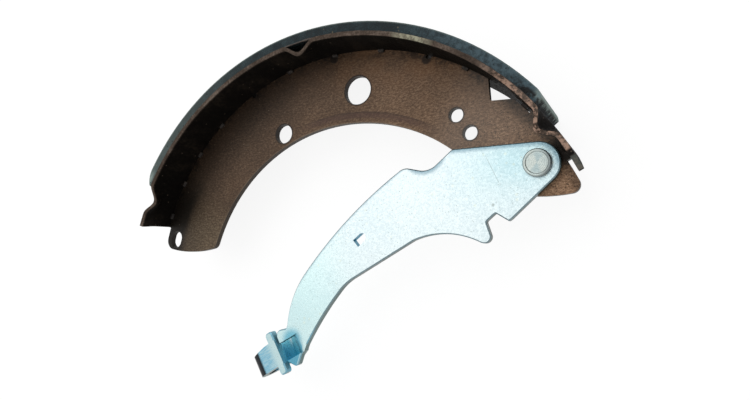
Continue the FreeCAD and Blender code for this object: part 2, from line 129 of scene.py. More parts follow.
class Tree:
    """Short calls that add and join nodes in one node tree."""

    def __init__(self, tree: bpy.types.NodeTree) -> None:
        """Keep the tree.

        Args:
            tree: the node tree to add to.
        """
        self.tree = tree

    def add(self, kind: str, inputs: Optional[Inputs] = None,
            **settings: object) -> bpy.types.Node:
        """Add a node, set its properties and feed its inputs.

        Args:
            kind: the node's Blender type.
            inputs: values of its inputs.
            settings: properties of the node by name.

        Returns:
            The new node.
        """
        node = self.tree.nodes.new(kind)
        for name, value in settings.items():
            setattr(node, name, value)
        for place, value in (inputs or {}).items():
            self.feed(node.inputs[place], value)
        return node

    def feed(self, socket: Socket, value: Value) -> None:
        """Put a constant or another node's output on an input.

        Args:
            socket: the input socket.
            value: an output socket, a number or a colour or vector.
        """
        if isinstance(value, Socket):
            self.tree.links.new(value, socket)
        elif isinstance(value, tuple) and socket.type == "RGBA":
            socket.default_value = (*value, 1.0)
        else:
            socket.default_value = value

    def math(self, operation: str, *values: Value) -> Socket:
        """Work out one Math node.

        Args:
            operation: the node's operation.
            values: its one to three values.

        Returns:
            The result's socket.
        """
        return self.add("ShaderNodeMath", dict(enumerate(values)), operation=operation).outputs[0]

    def times(self, first: Value, *others: Value) -> Value:
        """Product of the values, as given when there is only one."""
        for other in others:
            first = self.math("MULTIPLY", first, other)
        return first

    def most(self, first: Value, *others: Value) -> Value:
        """Greatest of the values, as given when there is only one."""
        for other in others:
            first = self.math("MAXIMUM", first, other)
        return first

    def vector(self, operation: str, *values: Value) -> Socket:
        """Work out one Vector Math node.

        Args:
            operation: the node's operation.
            values: its vectors.

        Returns:
            The result's socket, a number for DOT_PRODUCT and a vector for the others.
        """
        node = self.add("ShaderNodeVectorMath", dict(enumerate(values)), operation=operation)
        return node.outputs["Value" if operation == "DOT_PRODUCT" else "Vector"]

    def offset(self, place: Socket, centre: Value) -> Socket:
        """Offset in mm of a place in metres from a centre in mm."""
        return self.vector("SUBTRACT", self.vector("MULTIPLY", place, PER_METRE), centre)

    def smooth(self, value: Value, low: Value, high: Value,
               to_low: Value = 0.0, to_high: Value = 1.0) -> Socket:
        """Smooth step of a value.

        Args:
            value: the value that steps.
            low: where the step starts; above `high` for a step toward lower values.
            high: where the step ends.
            to_low: result at `low` and before it.
            to_high: result at `high` and past it.

        Returns:
            The result's socket.
        """
        inputs = {"Value": value, "From Min": low, "From Max": high, "To Min": to_low,
                  "To Max": to_high}
        node = self.add("ShaderNodeMapRange", inputs, interpolation_type="SMOOTHSTEP")
        return node.outputs["Result"]

    def blend(self, factor: Value, first: Value, second: Value, mode: str = "MIX") -> Socket:
        """Mix two colours by a factor.

        Args:
            factor: share of the second colour.
            first: colour or output at factor 0.
            second: colour or output at factor 1.
            mode: the Mix node's blend type.

        Returns:
            The mixed colour's socket.
        """
        node = self.add("ShaderNodeMix", {"Factor": factor, 6: first, 7: second}, data_type="RGBA",
                        blend_type=mode)
        return node.outputs[2]

    def ramp(self, value: Value, stops: Stops) -> Socket:
        """Colour of a value on a ramp.

        Args:
            value: place on the ramp.
            stops: the ramp's places and colours.

        Returns:
            The colour's socket.
        """
        node = self.add("ShaderNodeValToRGB", {"Fac": value})
        elements = node.color_ramp.elements
        while len(elements) < len(stops):
            elements.new(0.5)
        for element, (place, colour) in zip(elements, stops):
            element.position = place
            element.color = (*colour, 1.0)
        return node.outputs["Color"]

    def noise(self, place: Value, scale: Value, detail: float, roughness: float = 0.55) -> Socket:
        """Smooth noise around one half.

        Args:
            place: where the noise is read.
            scale: waves in one unit of the place vector.
            detail: number of finer layers.
            roughness: share of the finer layers.

        Returns:
            The noise's socket.
        """
        return self.add("ShaderNodeTexNoise", {"Vector": place, "Scale": scale, "Detail": detail,
                                               "Roughness": roughness}).outputs["Fac"]

    def group(self, group: bpy.types.NodeTree, **inputs: Value) -> bpy.types.Node:
        """Place a node group.

        Args:
            group: the group's tree.
            inputs: values by input name, with its spaces written as underscores.

        Returns:
            The group's node.
        """
        named = {name.replace("_", " "): value for name, value in inputs.items()}
        return self.add("ShaderNodeGroup", named, node_tree=group)


class Effects:
    """Node groups that several finishes share, each built once."""

    def __init__(self) -> None:
        """Build all the groups."""
        self.place = self._place()
        self.mottle = self._mottle()
        self.spots = self._spots()
        self.band = self._band()
        self.facing = self._facing()

    @staticmethod
    def _start(name: str, inputs: dict[str, Value], outputs: tuple[str, ...]) -> tuple[
            Tree, bpy.types.bpy_prop_collection, bpy.types.bpy_prop_collection]:
        """Make an empty group with named sockets.

        Args:
            name: the group's name.
            inputs: default by name, three numbers for a vector and one for a number.
            outputs: names of the outputs, all numbers.

        Returns:
            The tree helper, its input sockets by name and its output sockets by name.
        """
        group = bpy.data.node_groups.new(name, "ShaderNodeTree")
        for label, default in inputs.items():
            kind = "NodeSocketVector" if isinstance(default, tuple) else "NodeSocketFloat"
            socket = group.interface.new_socket(label, in_out="INPUT", socket_type=kind)
            socket.default_value = default
        for label in outputs:
            group.interface.new_socket(label, in_out="OUTPUT", socket_type="NodeSocketFloat")
        tree = Tree(group)
        entry = tree.add("NodeGroupInput")
        leave = tree.add("NodeGroupOutput")
        return tree, entry.outputs, leave.inputs

    def _place(self) -> bpy.types.NodeTree:
        """Radius in mm, angle in degrees and height in mm about an upright axis."""
        tree, entry, leave = self._start("place_about_axis", {"Vector": ORIGIN, "Centre": ORIGIN},
                                         ("Radius", "Angle", "Height"))
        offset = tree.offset(entry["Vector"], entry["Centre"])
        parts = tree.add("ShaderNodeSeparateXYZ", {0: offset})
        across, up, height = parts.outputs
        square = tree.math("MULTIPLY_ADD", across, across, tree.times(up, up))
        tree.feed(leave["Radius"], tree.math("SQRT", square))
        tree.feed(leave["Angle"], tree.math("DEGREES", tree.math("ARCTAN2", up, across)))
        tree.feed(leave["Height"], height)
        return tree.tree

    def _mottle(self) -> bpy.types.NodeTree:
        """Cloudy tone with a fine grain in it, stretched by a scale for each axis."""
        tree, entry, leave = self._start(
            "cloudy_grain",
            {"Vector": ORIGIN, "Stretch": (1.0, 1.0, 1.0), "Cloud Scale": 60.0,
             "Grain Scale": 900.0, "Grain Share": 0.4},
            ("Tone", "Grain"))
        contrast = (0.3, 0.7)
        place = tree.vector("MULTIPLY", entry["Vector"], entry["Stretch"])
        cloud = tree.noise(place, entry["Cloud Scale"], 4.0, 0.6)
        grain = tree.smooth(tree.noise(place, entry["Grain Scale"], 3.0, 0.6), *contrast)
        rest = tree.math("SUBTRACT", 1.0, entry["Grain Share"])
        wide = tree.times(tree.smooth(cloud, *contrast), rest)
        tree.feed(leave["Tone"], tree.math("MULTIPLY_ADD", grain, entry["Grain Share"], wide))
        tree.feed(leave["Grain"], grain)
        return tree.tree

    def _spots(self) -> bpy.types.NodeTree:
        """Small round spots: a cell's middle, in the share of cells that its number picks."""
        tree, entry, leave = self._start(
            "scattered_spots",
            {"Vector": ORIGIN, "Scale": 500.0, "Spot Size": 0.25, "Share": 0.3}, ("Spots",))
        cells = tree.add("ShaderNodeTexVoronoi",
                         {name: entry[name] for name in ("Vector", "Scale")})
        number = tree.add("ShaderNodeSeparateColor", {0: cells.outputs["Color"]})
        kept = tree.math("LESS_THAN", number.outputs[0], entry["Share"])
        half = tree.times(entry["Spot Size"], 0.5)
        spot = tree.smooth(cells.outputs["Distance"], half, entry["Spot Size"], 1.0, 0.0)
        tree.feed(leave["Spots"], tree.times(spot, kept))
        return tree.tree

    def _band(self) -> bpy.types.NodeTree:
        """Mask that rises at one value and falls at another, with soft shoulders."""
        tree, entry, leave = self._start(
            "soft_band", {"Value": 0.0, "From": 0.0, "To": 1.0, "Softness": 0.1}, ("Mask",))
        rise, fall = (
            tree.smooth(entry["Value"], tree.math("SUBTRACT", entry[end], entry["Softness"]),
                        tree.math("ADD", entry[end], entry["Softness"]), *results)
            for end, results in (("From", (0.0, 1.0)), ("To", (1.0, 0.0))))
        tree.feed(leave["Mask"], tree.times(rise, fall))
        return tree.tree

    def _facing(self) -> bpy.types.NodeTree:
        """How far a face looks along the drum's axis.

        Slope is the size of the normal's part along the axis. Flat is 1 on the faces of plates and
        0 on their walls.
        """
        tree, entry, leave = self._start("facing_along_axis", {"Normal": (0.0, 0.0, 1.0)},
                                         ("Flat", "Slope"))
        parts = tree.add("ShaderNodeSeparateXYZ", {0: entry["Normal"]})
        slope = tree.math("ABSOLUTE", parts.outputs["Z"])
        tree.feed(leave["Slope"], slope)
        tree.feed(leave["Flat"], tree.smooth(slope, 0.55, 0.95))
        return tree.tree


@dataclass(frozen=True)
class Mottle:
    """Scales of a cloudy grain, in waves to a metre, and its stretch along the three axes."""

    cloud_scale: float
    grain_scale: float
    grain_share: float
    stretch: Point = (1, 1, 1)


@dataclass(frozen=True)
class Fade:
    """A colour between two others, by the name of a measure that runs from 0 to 1."""

    measure: str
    first: Union[Colour, "Fade"]
    second: Union[Colour, "Fade"]


@dataclass(frozen=True)
class Layer:
    """A colour laid over those before it, where all of its masks overlap.

    Attributes:
        colour: the layer's colour.
        share: how much of it shows where its masks are full.
        masks: for each measure by name, the numbers of its mask (see Painter.mask).
        dots: scattered spots, if it lies in spots.
        waves: noise, if it lies in irregular patches.
        patches: smooth step over that noise.
    """

    colour: Union[Colour, Fade]
    share: float = 1.0
    masks: dict[str, Step] = field(default_factory=dict)
    dots: Numbers = ()
    waves: Numbers = ()
    patches: Step = ()


class Painter(Tree):
    """One material while a finish paints it: its shader, its measures and the colour so far."""

    def __init__(self, name: str, effects: Effects, mottling: Mottle, axis: Point) -> None:
        """Start the material, its cloudy grain and the measures that all finishes have.

        Args:
            name: the material's name.
            effects: the shared node groups.
            mottling: the scales of its grain.
            axis: place in mm of the upright axis that radius and angle are about.
        """
        self.material = bpy.data.materials.new(name)
        self.material.use_nodes = True
        super().__init__(self.material.node_tree)
        self.effects = effects
        self.shader = self.tree.nodes["Principled BSDF"]
        coordinates = self.add("ShaderNodeTexCoord")
        self.place = coordinates.outputs["Object"]
        facing = self.group(effects.facing, Normal=coordinates.outputs["Normal"])
        mottle = self.group(effects.mottle, Vector=self.place,
                            **{name.title(): value for name, value in vars(mottling).items()})
        self.grain = mottle.outputs["Grain"]
        self.measures: dict[str, Value] = dict(
            zip(("radius", "angle", "height"), self.polar(axis)), tone=mottle.outputs["Tone"],
            flat=facing.outputs["Flat"], slope=facing.outputs["Slope"])
        self.colour: Value = SOOT_AND_SHADE

    def polar(self, centre: Point) -> tuple[Socket, ...]:
        """Radius in mm, angle in degrees and height in mm about the upright axis at a centre."""
        return tuple(self.group(self.effects.place, Vector=self.place, Centre=centre).outputs)

    def along(self, start: Point, heading: float) -> Socket:
        """Distance along a straight line, seen from above.

        Args:
            start: where the distance is 0, in mm.
            heading: the line's direction in degrees.

        Returns:
            The distance's socket, in mm.
        """
        turn = math.radians(heading)
        return self.vector("DOT_PRODUCT", self.offset(self.place, start),
                           (math.cos(turn), math.sin(turn), 0.0))

    def near(self, centre: Point, outer: float, inner: float) -> Socket:
        """Round mask in mm about a centre: 0 past the outer radius, 1 within the inner one."""
        return self.smooth(self.polar(centre)[0], outer, inner)

    def band(self, value: Value, low: float, high: float, softness: float) -> Socket:
        """Mask of a value between two others, with soft shoulders of a half width."""
        return self.group(self.effects.band, Value=value, From=low, To=high,
                          Softness=softness).outputs["Mask"]

    def spots(self, scale: float, size: float, share: float) -> Socket:
        """Mask of scattered spots: cells in a metre, spot size in cells, share of cells used."""
        return self.group(self.effects.spots, Vector=self.place, Scale=scale,
                          Spot_Size=size, Share=share).outputs["Spots"]

    def mask(self, measure: str, numbers: Step) -> Value:
        """Mask over one of the measures.

        Args:
            measure: the measure's name.
            numbers: none for the measure as it is, three for a soft band (low, high and the half
                width of its shoulders), two or four for a smooth step.

        Returns:
            The mask.
        """
        value = self.measures[measure]
        if not numbers:
            return value
        return (self.band if len(numbers) == 3 else self.smooth)(value, *numbers)

    def masks(self, *wanted: tuple[str, Step]) -> Value:
        """Product of masks, each given by its measure and numbers."""
        return self.times(*(self.mask(*one) for one in wanted))

    def mixed(self, colour: Union[Value, Fade]) -> Value:
        """Colour as it is, or worked out where it fades between two others."""
        if isinstance(colour, Fade):
            return self.blend(self.measures[colour.measure], self.mixed(colour.first),
                              self.mixed(colour.second))
        return colour

    def lay(self, *layers: Layer) -> None:
        """Lay layers over the colour so far, in their order."""
        for layer in layers:
            masks = [self.mask(*one) for one in layer.masks.items()]
            if layer.dots:
                masks.append(self.spots(*layer.dots))
            if layer.waves:
                masks.append(self.smooth(self.noise(self.place, *layer.waves), *layer.patches))
            self.colour = self.blend(self.times(*masks, layer.share), self.colour,
                                     self.mixed(layer.colour))


# ---- finishes


@dataclass(frozen=True)
class Finish:
    """Base of the finishes.

    The numbers of steps and bands are in millimetres over a radius, distance or height, and in
    degrees over an angle.

    Attributes:
        name: the material's name.
        mottling: scales of the cloudy grain.
        roughness: the shader's roughness at grain 0 and 1.
        bump: strength of the relief, and its depth in metres.
        metallic: the shader's metallic value.
        specular: the shader's specular level.
        axis: place of the upright axis that radius and angle are about, in mm.
        tones: the first colour, by the tone of the cloudy grain.
        layers: what lies over it, in order.
    """

    name: str
    mottling: Mottle
    roughness: Pair
    bump: Pair
    metallic: float = 0.0
    specular: float = 0.5
    axis: Point = ORIGIN
    tones: Stops = ()
    layers: tuple[Layer, ...] = ()

    def paint(self, tree: Painter) -> Socket:
        """Lay the finish's colours.

        Args:
            tree: the material's nodes.

        Returns:
            Height of the relief.
        """
        tree.colour = tree.ramp(tree.measures["tone"], self.tones)
        tree.lay(*self.layers)
        return tree.grain

    def build(self, effects: Effects) -> bpy.types.Material:
        """Build the material.

        Args:
            effects: the shared node groups.

        Returns:
            The finished material.
        """
        tree = Painter(self.name, effects, self.mottling, self.axis)
        inputs = tree.shader.inputs
        inputs["Metallic"].default_value = self.metallic
        inputs["Specular IOR Level"].default_value = self.specular
        height = self.paint(tree)
        tree.feed(inputs["Base Color"], tree.colour)
        tree.feed(inputs["Roughness"], tree.smooth(tree.grain, 0.0, 1.0, *self.roughness))
        strength, depth = self.bump
        bump = tree.add("ShaderNodeBump",
                        {"Height": height, "Strength": strength, "Distance": depth})
        tree.feed(inputs["Normal"], bump.outputs["Normal"])
        return tree.material


@dataclass(frozen=True)
class WebFinish(Finish):
    """Dark bronze phosphate of the web, mottled along X.

    It is darkest at the heel and in the corner with the rim, where shade is painted, warmer beside
    the rim's middle, and lighter and grainier toward the toe.
    """

    name: str = "web_phosphate"
    mottling: Mottle = Mottle(1300, 4200, 0.5, (0.55, 1, 1))
    roughness: Pair = (0.38, 0.58)
    bump: Pair = (0.25, 0.00012)
    metallic: float = 0.25
    specular: float = 0.2
    tones: Stops = ((0, (0.015, 0.0085, 0.0048)), (0.4, (0.034, 0.0195, 0.011)),
                    (0.7, (0.057, 0.035, 0.021)), (1, (0.1, 0.066, 0.041)))
    clouds: Pair = (45, 3)
    # lightness by angle and cloud, and by radius on the heel's half
    light: tuple[tuple[str, Step], ...] = (
        ("angle", (114, 62, 1.1, 2.65)), ("angle", (62, 26, 1, 2.3)),
        ("angle", (139, 158, 1, 1.5)), ("cloud", (0.3, 0.7, 0.86, 1.14)))
    heel_half: Step = (84, 104)
    radius_light: Step = (92, 113, 1.5, 0.62)
    # the coat is greener at the heel
    olive: Colour = (0.94, 1.1, 1.14)
    olive_angle: Step = (136, 156)
    # the rim's shade: radius and angle at the heel and behind the window
    shades: tuple[tuple[Step, Step], ...] = (((104.5, 110), (138, 151, 0, 0.85)),
                                             ((112.5, 117.5), (52, 47, 0, 0.55)))
    # how far a mark goes past a hole's edge, and from a weld's middle
    hole_edge: Pair = (1, 0.15)
    weld_spot: Pair = (2.9, 1.7)
    layers: tuple[Layer, ...] = (
        Layer((0.004, 0.003, 0.002), masks={"shade": ()}),
        # warm glow of a thinner coat next to the rim, between the notches and the window
        Layer((0.15, 0.068, 0.024), masks={
            "radius": (96, 117), "angle": (50, 94, 14), "cloud": (0.35, 0.62, 0.08, 0.4)}),
        # plum band along the inner edge, and the dark line where the drawing die stopped
        Layer((0.052, 0.027, 0.023), 0.55, {"edge": (88.7, 91.6, 0.8), "angle": (58, 100, 6)}),
        Layer(SOOT_AND_SHADE, 0.5, {"edge": (91.2, 91.7, 0.45), "angle": (58, 100, 6)}),
        # thick coat on the holes' punched edges, soot at two of the welds, and painted shade in
        # patches in the corner by the rim
        Layer(SOOT_AND_SHADE, 0.85, {"marks": ()}),
        Layer(SOOT_AND_SHADE, 0.8, {"radius": (113.5, 119.5)}, waves=(120, 4, 0.7), patches=(0.45, 0.62)),
        # granular crust toward the toe
        Layer((0.012, 0.009, 0.007), masks={"angle": (62, 34, 0.12, 0.75)},
              dots=(1100, 0.42, 0.55)),
        # rubbed line on the inner edge, pale specks, and painted shade on the walls
        Layer((0.22, 0.17, 0.12), masks={"edge": (87.3, 86.6), "cloud": (0.3, 0.6, 0.05, 0.35)}),
        Layer((0.22, 0.17, 0.12), 0.5, dots=(700, 0.2, 0.1)),
        Layer((0.02, 0.014, 0.01), 0.8, {"walls": ()}),
        # greyer between the window and the toe's nib
        Layer((0.145, 0.142, 0.135), 0.28, {"angle": (33, 54, 7)}),
        # painted shadow round the lever's head, on the rim's side
        Layer(SOOT_AND_SHADE, 0.92, {"pivot_radius": (18.5, 12.5), "pivot_angle": (-4, 56, 14)}))

    def paint(self, tree: Painter) -> Socket:
        """Lay the web's colours; see Finish.paint."""
        measures = tree.measures
        pivot_radius, pivot_angle, _ = tree.polar(LAYOUT.pivot)
        holes = (tree.near(polar_point(radius, turn), *(size + past for past in self.hole_edge))
                 for radius, turn, size in LAYOUT.holes)
        welds = (tree.near(polar_point(*weld), *self.weld_spot) for weld in LAYOUT.sooty_welds)
        shades = (tree.masks(("radius", radius), ("angle", angle))
                  for radius, angle in self.shades)
        measures.update(
            cloud=tree.noise(tree.place, *self.clouds),
            edge=tree.polar(LAYOUT.web_edge_centre)[0],
            pivot_radius=pivot_radius, pivot_angle=pivot_angle,
            walls=tree.math("SUBTRACT", 1.0, measures["flat"]),
            marks=tree.most(*holes, *welds), shade=tree.most(*shades))
        across = tree.smooth(measures["angle"], *self.heel_half, 1.0,
                             tree.mask("radius", self.radius_light))
        level = tree.times(across, tree.masks(*self.light))
        bronze = tree.blend(1.0, tree.ramp(measures["tone"], self.tones), level, "MULTIPLY")
        tree.colour = tree.blend(tree.mask("angle", self.olive_angle), bronze, self.olive,
                                 "MULTIPLY")
        tree.lay(*self.layers)
        return tree.grain


@dataclass(frozen=True)
class RimFinish(Finish):
    """Nearly black inner face of the rim, and its rubbed brown front edge with a cream patch.

    The layers over the tones are those of the faces; edge_layers are those of the front edge.
    """

    name: str = "rim_phosphate"
    mottling: Mottle = Mottle(90, 1100, 0.4, (1, 1, 0.45))
    roughness: Pair = (0.55, 0.8)
    bump: Pair = (0.3, 0.0001)
    specular: float = 0.03
    tones: Stops = ((0, (0.0025, 0.0021, 0.0017)), (0.6, (0.0065, 0.0052, 0.0042)),
                    (1, (0.019, 0.014, 0.01)))
    toe_angle: Step = (44, 36)
    layers: tuple[Layer, ...] = (
        # the outer face keeps a browner, lighter coat, but for the toe
        Layer(Fade("toe", (0.045, 0.035, 0.027), (0.004, 0.0034, 0.003)), 0.75,
              {"radius": (121.4, 121.9)}),
        # the toe's end is scuffed in patches
        Layer((0.085, 0.062, 0.045), 0.45, {"angle": (34, 28)}, waves=(210, 3),
              patches=(0.5, 0.66)))
    edge_tones: Stops = ((0, (0.026, 0.018, 0.013)), (0.55, (0.075, 0.055, 0.043)),
                         (1, (0.17, 0.13, 0.105)))
    edge_layers: tuple[Layer, ...] = (
        # one broken cream patch, and bare places toward the toe
        Layer((0.44, 0.43, 0.31), masks={"angle": (62, 69, 2.2)}, waves=(420, 3, 0.7),
              patches=(0.4, 0.58, 0.25, 0.75)),
        Layer((0.42, 0.275, 0.205), 0.85, {"angle": (52, 40)}, waves=(330, 4, 0.7),
              patches=(0.42, 0.56)),
        # past the last nib the coat is grey-green, after one near-black band
        Layer((0.075, 0.085, 0.075), 0.85, {"angle": (25.2, 24.6)}),
        Layer((0.004, 0.004, 0.004), 0.95, {"angle": (24.9, 26.2, 0.25)}))
    # the front edge's colours fade inward over its lip
    lip_depths: Pair = (1.1, 0.1)
    lip_share: float = 0.55
    specks: Layer = Layer((0.2, 0.155, 0.12), 0.35, dots=(520, 0.22, 0.14))

    def paint(self, tree: Painter) -> Socket:
        """Lay the rim's colours; see Finish.paint."""
        measures = tree.measures
        measures["toe"] = tree.mask("angle", self.toe_angle)
        super().paint(tree)
        faces = tree.colour
        tree.colour = tree.ramp(measures["tone"], self.edge_tones)
        tree.lay(*self.edge_layers)
        lip = tree.smooth(measures["height"],
                          *(LAYOUT.rim_width - depth for depth in self.lip_depths))
        on_edge = tree.most(tree.times(lip, self.lip_share), measures["flat"])
        tree.colour = tree.blend(on_edge, faces, tree.colour)
        tree.lay(self.specks)
        return tree.grain


PALE_LINING: Colour = (0.3, 0.37, 0.34)


@dataclass(frozen=True)
class LiningFinish(Finish):
    """Slate friction compound: fine grey grit, brass chips, pores, ground paler at both ends."""

    name: str = "lining_compound"
    mottling: Mottle = Mottle(160, 1700, 0.6)
    roughness: Pair = (0.72, 0.92)
    bump: Pair = (0.6, 0.0002)
    specular: float = 0.3
    tones: Stops = ((0, (0.002, 0.004, 0.005)), (0.5, (0.008, 0.016, 0.019)),
                    (1, (0.034, 0.056, 0.062)))
    # reach of the ground ends and of the dark blotches at the toe, as angles past the lining's
    # ends
    ground_heel: Pair = (-4.6, -1.2)
    ground_toe: Pair = (2.4, 0.4)
    burnt_toe: Pair = (8, 4)
    pore_dots: Numbers = (610, 0.3, 0.18)
    layers: tuple[Layer, ...] = (
        # paler toward the heel, on both ground ends and along the front edge
        Layer(PALE_LINING, 0.22, {"angle": (100, 150)}),
        Layer(PALE_LINING, 0.75, {"ends": (), "radius": (123, 125)}),
        Layer(PALE_LINING, 0.35, {"radius": (126.2, 126.9), "flat": ()}),
        # blue-grey mottling of the front face toward the toe
        Layer((0.085, 0.135, 0.16), masks={"angle": (74, 52), "flat": ()}, waves=(420, 4, 0.7),
              patches=(0.38, 0.62, 0.15, 0.62)),
        # dark blotches at the toe's end
        Layer((0.004, 0.005, 0.005), masks={"burnt": (), "radius": (126, 124.4)},
              waves=(260, 3), patches=(0.4, 0.56)),
        # brass chips and pores
        Layer((0.26, 0.21, 0.12), 0.38, dots=(430, 0.24, 0.16)),
        Layer((0.006, 0.008, 0.009), 0.7, {"pores": ()}))

    def paint(self, tree: Painter) -> Socket:
        """Lay the lining's colours; see Finish.paint."""
        heel, toe, burnt = (
            tree.mask("angle", tuple(end + past for past in reach))
            for end, reach in ((LAYOUT.lining_heel, self.ground_heel),
                               (LAYOUT.lining_toe, self.ground_toe),
                               (LAYOUT.lining_toe, self.burnt_toe)))
        pores = tree.spots(*self.pore_dots)
        tree.measures.update(ends=tree.most(heel, toe), burnt=burnt, pores=pores)
        super().paint(tree)
        return tree.math("SUBTRACT", tree.grain, pores)


ZINC_BLUE: Colour = (0.04, 0.285, 0.42)
ZINC_PIT: Colour = (0.24, 0.28, 0.26)
# grey-teal painted shade of rolled edges and tilted metal
ZINC_EDGE_SHADE: Colour = (0.16, 0.28, 0.34)
# dark painted shade of steep and sheared walls
ZINC_WALL_SHADE: Colour = (0.04, 0.068, 0.062)


@dataclass(frozen=True)
class ZincFinish(Finish):
    """Bright blue-passivated zinc of the lever; its radius and angle are about the pivot.

    The plate is pale, with painted shade on its rolled edges and on its sheared walls. The metal
    that was formed into the tongue and the hook is blue under painted shade and reflection, and
    the curl's end is black with painted shade.
    """

    name: str = "lever_zinc"
    mottling: Mottle = Mottle(38, 1250, 0.5)
    roughness: Pair = (0.26, 0.42)
    bump: Pair = (0.35, 0.00008)
    metallic: float = 0.5
    end_metallic: float = 1.0
    axis: Point = LAYOUT.pivot
    grain_height: float = 0.5
    plate: Colour = (0.62, 0.7, 0.715)
    rimward_heading: float = 100.0
    far_radius: Step = (85, 125, 0, 0.8)
    pit_dots: Numbers = (760, 0.26, 0.26)
    # the scratch's half width and its ends, and the dent
    scratch_share: float = 0.5
    scratch_width: Step = (-0.14, 0.14, 0.1)
    scratch_from: float = 0.5
    scratch_fade: float = 1.2
    dent_share: float = 0.6
    dent_reach: Pair = (0.9, 0.4)
    # painted shade along the rolled edges that blanking drew down: round the head, along its
    # straight side, in the saddle and along the back; the depths are inward from each edge
    round_depths: Pair = (3, 0.8)
    round_past: Pair = (3, 1.5)
    round_angle: Step = (-14, 96, 22)
    straight_depths: Pair = (2.8, 0.6)
    saddle_depths: Pair = (3, 0.6)
    back_share: float = 0.7
    back_depths: Pair = (1.6, 0.4)
    back_angle: Step = (118.5, 140, 1.5)
    # the hook, the painted shade and reflection where the sheet dishes by the tongue, and the pale
    # strip and the painted highlight in the corner at the neck's edge
    hook_reach: Pair = (26, 18)
    dish_reach: Pair = (11.5, 5.5)
    smudge_reach: Pair = (7.4, 2.6)
    tongue_out: Step = (-12.8, -0.4, 1)
    strip_side: Step = (0.3, 1.2)
    stain_side: Step = (12.5, 8.5, 0.3, 1)
    corner_side: Step = (11, 14, 0, 0.9)
    edgeward_reach: Step = (-6.5, 5)
    # the curl's streaks run lengthwise, and its outer end is black with painted shade
    streak_stretch: float = 0.12
    streak_waves: Pair = (1.6, 3)
    end_out: Step = (13.4, 15.2)
    slot_reach: Pair = (6, 5)
    layers: tuple[Layer, ...] = (
        # a little bluer at the head, toward the rim
        Layer((0.46, 0.63, 0.66), masks={
            "radius": (46, 6), "rimward": (-20, 6, 0.15, 1), "tone": (0.2, 0.8, 0.8, 1)}),
        # greener far from the pivot, clouded with blue, straw spots and grey pits
        Layer((0.56, 0.76, 0.76), masks={"far": ()}),
        Layer(ZINC_BLUE, masks={"tone": (0.35, 0.75, 0, 0.07)}),
        Layer((0.66, 0.68, 0.52), 0.3, dots=(330, 0.3, 0.22)),
        Layer(ZINC_PIT, 0.42, {"pits": ()}),
        # one thin scratch across the head and one small dent below it
        Layer(ZINC_PIT, masks={"damage": ()}),
        # painted shade and reflection: greyer on the rolled edges, and darker and bluer as the
        # metal turns away from the plate's plane
        Layer(ZINC_EDGE_SHADE, 0.8, {"drawn": ()}),
        Layer(Fade("hook", ZINC_EDGE_SHADE, ZINC_BLUE), masks={"slope": (0.998, 0.9, 0, 0.7)}),
        Layer(Fade("hook", ZINC_WALL_SHADE, (0.008, 0.085, 0.16)),
              masks={"slope": (0.88, 0.5), "hook": (0, 1, 0.9, 0.15)}),
        # painted shade and reflection where the sheet dishes down by the tongue
        Layer(Fade("edgeward", (0.115, 0.4, 0.52), ZINC_BLUE), 0.9, {"stain": ()}),
        # the tongue's floor: painted reflection from pale to deeper blue toward the edge, a
        # painted highlight in the pale corner, and painted shade deeper down
        Layer(Fade("corner", Fade("edgeward", (0.34, 0.88, 0.95), (0.025, 0.5, 0.76)),
                   (0.9, 1, 1)), 0.85, {"height": (29.9, 24.5), "hook": ()}),
        Layer(ZINC_BLUE, 0.2, {"height": (25.5, 19.5), "hook": ()}),
        # the curl, in lengthwise streaks, and black painted shade on its outer end
        Layer((0.18, 0.45, 0.6), masks={"out": (2.5, 9), "streaks": (0.38, 0.62, 0.42, 0.95)}),
        Layer((0.002, 0.006, 0.01), masks={"end": ()}),
        # painted shade on the sheared walls, blue in the slot and paler at the far end
        Layer(Fade("far", Fade("slot", ZINC_WALL_SHADE, ZINC_BLUE), (0.1, 0.16, 0.15)), 0.95,
              {"slope": (0.12, 0.02)}))

    def _drawn_edges(self, tree: Painter) -> Value:
        """Mask of the painted shade on the rolled edges that blanking drew down.

        Args:
            tree: the material's nodes.

        Returns:
            The mask.
        """
        head = LAYOUT.head_radius
        rounded = tree.masks(("radius", tuple(head - depth for depth in self.round_depths)),
                             ("radius", tuple(head + past for past in self.round_past)),
                             ("angle", self.round_angle))
        straight = tree.smooth(tree.along(LAYOUT.pivot, LAYOUT.head_edge_heading),
                               *(head - depth for depth in self.straight_depths))
        saddle = tree.near(LAYOUT.saddle_centre,
                           *(LAYOUT.saddle_radius + depth for depth in self.saddle_depths))
        radius, angle, _ = tree.polar(LAYOUT.back_centre)
        back = tree.times(
            tree.smooth(radius, *(LAYOUT.back_radius - depth for depth in self.back_depths)),
            tree.band(angle, *self.back_angle), self.back_share)
        return tree.most(rounded, straight, saddle, back)

    def _hook_measures(self, tree: Painter) -> None:
        """Name the measures of the hook and of the tongue that leads to it.

        Args:
            tree: the material's nodes.
        """
        smooth = tree.smooth
        out = tree.along(LAYOUT.hook_root, LAYOUT.hook_heading)
        inward = tree.along(LAYOUT.neck_edge, LAYOUT.neck_heading - 90)
        between = tree.band(out, *self.tongue_out)
        dished = tree.times(tree.near(LAYOUT.dish_centre, *self.dish_reach), between,
                            smooth(inward, *self.strip_side),
                            smooth(inward, *self.stain_side))
        across = tree.along(LAYOUT.hook_root, LAYOUT.hook_heading + 90)
        lines = tree.add("ShaderNodeCombineXYZ",
                         {"X": tree.times(out, self.streak_stretch), "Y": across})
        tree.measures.update(
            out=out, end=smooth(out, *self.end_out),
            hook=tree.near(LAYOUT.hook_root, *self.hook_reach),
            stain=tree.most(dished, tree.near(LAYOUT.smudge_centre, *self.smudge_reach)),
            corner=tree.times(smooth(inward, *self.corner_side), between),
            edgeward=smooth(tree.along(LAYOUT.dish_centre, -90), *self.edgeward_reach),
            streaks=tree.noise(lines.outputs[0], *self.streak_waves))

